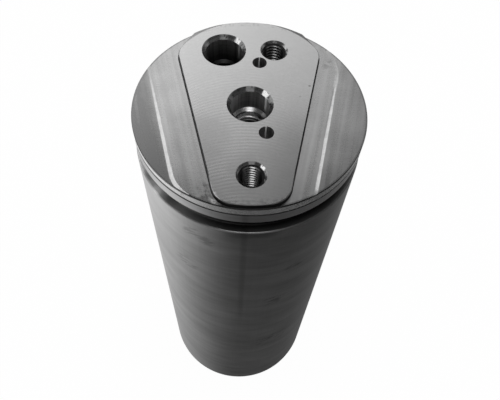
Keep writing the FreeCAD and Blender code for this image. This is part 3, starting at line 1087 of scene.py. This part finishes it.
@dataclass
class Head:
    """The machined head: its own solid, merged, creased and given a finish for each zone."""

    flange_radius: float = 37.5
    edge_band: float = 0.35
    level_slack: float = 0.001
    pad_rise: float = 0.3
    track_reach: float = 0.12
    groove_reach: float = 0.25
    chamfer_reach: float = 0.5
    flat_limit: float = 0.9
    chamfer_limit: float = 0.3
    sharp_angle: float = 14.0
    hole_reaches: tuple[tuple[tuple[float, float], float], ...] = (
        (OUTLET, 7.6), (INLET, 7.6), (FRONT_THREAD, 4.9), (REAR_THREAD, 4.9),
        (FRONT_PIN, 2.6), (REAR_PIN, 2.6),
    )

    def zone(self, face: bmesh.types.BMFace) -> Zone:
        """Tells which machined zone a face belongs to.

        Args:
            face: A face of the head.

        Returns:
            Its zone.
        """
        middle = face.calc_center_median() / MM
        above_land = middle.z - LAND_LEVEL
        if face.normal.z > self.flat_limit:
            return self.flat_zone(middle, above_land)
        if self.in_hole(middle):
            chamfered = face.normal.z > self.chamfer_limit and above_land > -self.chamfer_reach
            return Zone.CHAMFER if chamfered else Zone.BORE
        edge_face = math.hypot(middle.x, middle.y) > self.flange_radius - self.edge_band
        if above_land > 0.0 or (above_land > -self.groove_reach and not edge_face):
            return Zone.WALL
        return Zone.RIM

    def flat_zone(self, middle: Vector, above_land: float) -> Zone:
        """Tells which zone a face that looks up belongs to.

        Args:
            middle: The face's middle, in millimetres.
            above_land: Its height above the lands.

        Returns:
            Its zone.
        """
        if above_land > self.pad_rise:
            return Zone.PAD
        if abs(above_land) < self.level_slack:
            return Zone.LAND
        if above_land > -self.track_reach:
            return Zone.TRACK
        return Zone.WALL if above_land > -self.groove_reach else Zone.BORE

    def in_hole(self, middle: Vector) -> bool:
        """Tells whether a point lies in the wall of a port or a hole."""
        return any(math.hypot(middle.x - x, middle.y - y) < reach
                   for (x, y), reach in self.hole_reaches)

    def build(self) -> bpy.types.Object:
        """Copies, merges and dresses the head.

        Returns:
            The head's piece.
        """
        mesh = bmesh.new()
        mesh.from_mesh(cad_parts["head"].data)
        bmesh.ops.remove_doubles(mesh, verts=mesh.verts, dist=MERGE_GAP)
        for face in mesh.faces:
            face.material_index = self.zone(face).value
        materials = [finish.material() for finish in HEAD_FINISHES.values()]
        piece = mesh_object("machined_head", mesh, materials, self.sharp_angle)
        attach(piece, "root")
        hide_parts("head")
        return piece


@dataclass
class Thread:
    """One cut thread: a helical ridge seated in its hole, trimmed by the hole's countersink."""

    name: str
    hole: tuple[float, float]
    pitch: float = 1.25
    major: float = 4.0
    minor: float = 3.35
    seat: float = 0.02
    mouth: float = 4.7
    start_depth: float = 0.5
    end_depth: float = 13.9
    sharp_angle: float = 40.0
    steps_per_turn: int = 48

    def build(self, finish: bpy.types.Material) -> bpy.types.Object:
        """Sweeps the ridge's section along the helix.

        Args:
            finish: The thread's material.

        Returns:
            The thread's piece.
        """
        root = self.major + self.seat
        half_root = self.pitch * 7 / 16
        half_crest = self.pitch / 8
        section = [
            (root, -half_root), (self.minor, -half_crest), (self.minor, half_crest), (root, half_root),
        ]
        start = PAD_TOP - self.end_depth + half_root
        turns = (self.end_depth - self.start_depth - 2 * half_root) / self.pitch
        steps = round(turns * self.steps_per_turn)
        mesh = bmesh.new()
        spots = [mesh.verts.new((r * MM, 0.0, (start + z) * MM)) for r, z in section]
        face = mesh.faces.new(spots)
        rise = Vector((0.0, 0.0, self.pitch * turns / steps * MM))
        bmesh.ops.spin(mesh, geom=[face], cent=(0, 0, 0), axis=(0, 0, 1), dvec=rise,
                       angle=math.tau * turns, steps=steps, use_merge=False)
        bmesh.ops.recalc_face_normals(mesh, faces=mesh.faces)
        self.trim(mesh)
        bmesh.ops.translate(mesh, verts=mesh.verts, vec=(*(part * MM for part in self.hole), 0.0))
        piece = mesh_object(self.name, mesh, [finish], self.sharp_angle)
        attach(piece, "root")
        return piece

    def trim(self, mesh: bmesh.types.BMesh) -> None:
        """Presses what lies inside the countersink's cone out to the cone.

        Args:
            mesh: The ridge, round the main axis.
        """
        for spot in mesh.verts:
            depth = PAD_TOP - spot.co.z / MM
            limit = min(self.mouth - depth, self.major + self.seat) * MM
            reach = math.hypot(spot.co.x, spot.co.y)
            if reach < limit:
                spot.co.x *= limit / reach
                spot.co.y *= limit / reach


@dataclass
class InnerPieces:
    """The solids sealed inside the can, each dressed in its own finish."""

    def dress(self) -> None:
        """Gives each inner node its material."""
        for node, finish in INNER_FINISHES.items():
            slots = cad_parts[node].data.materials
            slots.clear()
            slots.append(finish.material())
            LOG.info("dressed %s", node)


@dataclass
class Studio:
    """Plain pale floor, soft lamps and a world that shows white to the camera."""

    floor_size: float = 6000.0
    floor_level: float = -0.02
    floor_grey: float = 0.9
    floor_white: float = 0.97
    soft_level: float = 0.9
    lamp_target: Spot = (0.0, 0.0, 200.0)
    lit_side: tuple[float, float] = (-0.766, 0.643)
    dim_side: tuple[float, float] = (0.819, 0.574)

    def build(self) -> None:
        """Lays the floor, hangs the lamps and sets the world."""
        self.floor()
        self.lamps()
        self.world()

    def floor(self) -> None:
        """Pale floor: white to the camera, with the object's soft shadow."""
        mesh = bmesh.new()
        level = Matrix.Translation((0.0, 0.0, self.floor_level * MM))
        half = self.floor_size / 2 * MM
        bmesh.ops.create_grid(mesh, x_segments=1, y_segments=1, size=half, matrix=level)
        data = bpy.data.meshes.new("floor")
        mesh.to_mesh(data)
        mesh.free()
        floor = bpy.data.objects.new("floor", data)
        bpy.context.scene.collection.objects.link(floor)
        floor.visible_glossy = False
        made = bpy.data.materials.new("pale_floor")
        made.use_nodes = True
        graph = Graph(made.node_tree)
        rays = graph.node("ShaderNodeLightPath").outputs
        seen = Value(graph, rays["Is Camera Ray"]).most(Value(graph, rays["Is Transmission Ray"]))
        paint = graph.node("ShaderNodeBsdfDiffuse", None, {"Color": rgba(grey(self.floor_grey))})
        white = graph.node("ShaderNodeEmission", None, {"Color": rgba(grey(1.0)), "Strength": 1.0})
        mix = graph.node("ShaderNodeMixShader", None,
                         {0: seen * self.floor_white, 1: paint.outputs[0], 2: white.outputs[0]})
        graph.node("ShaderNodeOutputMaterial", None, {"Surface": mix.outputs[0]})
        floor.data.materials.append(made)

    def lamps(self) -> None:
        """A window at the left, a soft box above the camera and a dim wide one in front."""
        self.soft_box("window", Vector((-890.0, -222.0, 604.0)), 500.0, 230.0, 0.5)
        self.soft_box("soft_box", Vector((-10.0, -262.0, 760.0)), 230.0, 270.0, 0.29)
        self.soft_box("front_box", Vector((10.0, -595.0, 576.0)), 420.0, 220.0, 0.062)

    def soft_box(self, name: str, place: Vector, width: float, height: float, power: float) -> None:
        """Hangs one area lamp that faces the head.

        Args:
            name: The lamp's name.
            place: Its middle.
            width: Its width.
            height: Its height.
            power: Its power in watts.
        """
        data = bpy.data.lights.new(name, "AREA")
        data.shape = "RECTANGLE"
        data.size = width * MM
        data.size_y = height * MM
        data.energy = power
        lamp = bpy.data.objects.new(name, data)
        lamp.location = place * MM
        lamp.rotation_mode = "QUATERNION"
        lamp.rotation_quaternion = (Vector(self.lamp_target) - place).to_track_quat("-Z", "Y")
        bpy.context.scene.collection.objects.link(lamp)

    def world(self) -> None:
        """White to the camera, plain for soft light, and a graded studio in the metal."""
        world = bpy.data.worlds.new("studio")
        world.use_nodes = True
        bpy.context.scene.world = world
        graph = Graph(world.node_tree)
        rays = graph.node("ShaderNodeLightPath").outputs
        seen = Value(graph, rays["Is Camera Ray"])
        mirrored = Value(graph, rays["Is Glossy Ray"])
        level = self.graded(*graph.axes(graph.node("ShaderNodeTexCoord").outputs["Generated"]))
        strength = seen.most(mirrored * level + (1.0 - mirrored) * self.soft_level)
        inputs = {"Color": rgba(grey(1.0)), "Strength": strength}
        light = graph.node("ShaderNodeBackground", None, inputs)
        graph.node("ShaderNodeOutputWorld", None, {"Surface": light.outputs[0]})

    def graded(self, x: Value, y: Value, z: Value) -> Value:
        """Brightness of the studio by direction: light behind and at the left, dim in front.

        Args:
            x: The direction's part to the right.
            y: Its part to the back.
            z: Its part upwards.

        Returns:
            The brightness.
        """
        aside = Graph.radius(x, y).most(0.001)
        lit = (x * self.lit_side[0] + y * self.lit_side[1]) / aside
        lit = ((lit + 0.7) / 1.8).most(0.0).least(0.86)
        dim = (x * self.dim_side[0] + y * self.dim_side[1]) / aside
        dim = ((dim - 0.55) / 0.45).most(0.0).least(1.0)
        low = lit * lit * (z.step(-0.965, -0.85) * 0.72 + 0.31) + dim * dim * 0.06
        low = low + 0.07 - z.step(-0.93, -0.82) * 0.035
        slope = 1.0 - x.most(-0.3).least(0.3) * 1.5
        rear = (z.step(0.90, 0.67) * 0.90 + 0.08) * slope * (0.25 + z.step(0.15, 0.6) * 0.75)
        behind = y.step(-0.15, 0.35)
        high = rear * behind + (1.0 - behind) * 0.05
        above = z.step(-0.2, 0.1)
        return high * above + low * (1.0 - above)


@dataclass
class PhotoCamera:
    """The camera at the photograph's place, from the fit of the object's outline."""

    place: tuple[float, float, float] = (-6.50, -115.95, 340.65)
    yaw: float = 4.19
    pitch: float = 59.22
    roll: float = -3.873
    lens: float = 40.08
    sensor: float = 36.0

    def build(self) -> None:
        """Places the camera and makes it the scene's own."""
        yaw, pitch, roll = (math.radians(angle) for angle in (self.yaw, self.pitch, self.roll))
        level = math.cos(pitch)
        ahead = Vector((math.sin(yaw) * level, math.cos(yaw) * level, -math.sin(pitch)))
        level_right = Vector((math.cos(yaw), -math.sin(yaw), 0.0))
        level_down = ahead.cross(level_right)
        right = level_right * math.cos(roll) + level_down * math.sin(roll)
        down = level_down * math.cos(roll) - level_right * math.sin(roll)
        turn = Matrix((right, -down, -ahead)).transposed().to_4x4()
        data = bpy.data.cameras.new("photo_camera")
        data.lens = self.lens
        data.sensor_width = self.sensor
        camera = bpy.data.objects.new("photo_camera", data)
        camera.matrix_world = Matrix.Translation(Vector(self.place) * MM) @ turn
        bpy.context.scene.collection.objects.link(camera)
        bpy.context.scene.camera = camera


def main() -> None:
    """Builds the part, its finishes and the studio, and reports each piece."""
    logging.basicConfig(level=logging.INFO, format="%(message)s")
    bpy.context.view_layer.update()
    bpy.context.scene.view_settings.view_transform = "Standard"
    InnerPieces().dress()
    pieces = [Canister().build(), Head().build()]
    thread_finish = THREAD_FINISH.material()
    for thread in (Thread("front_thread", FRONT_THREAD), Thread("rear_thread", REAR_THREAD)):
        pieces.append(thread.build(thread_finish))
    for piece in pieces:
        LOG.info("built %s with %d faces", piece.name, len(piece.data.polygons))
    Studio().build()
    PhotoCamera().build()


if __name__ == "__main__":
    main()
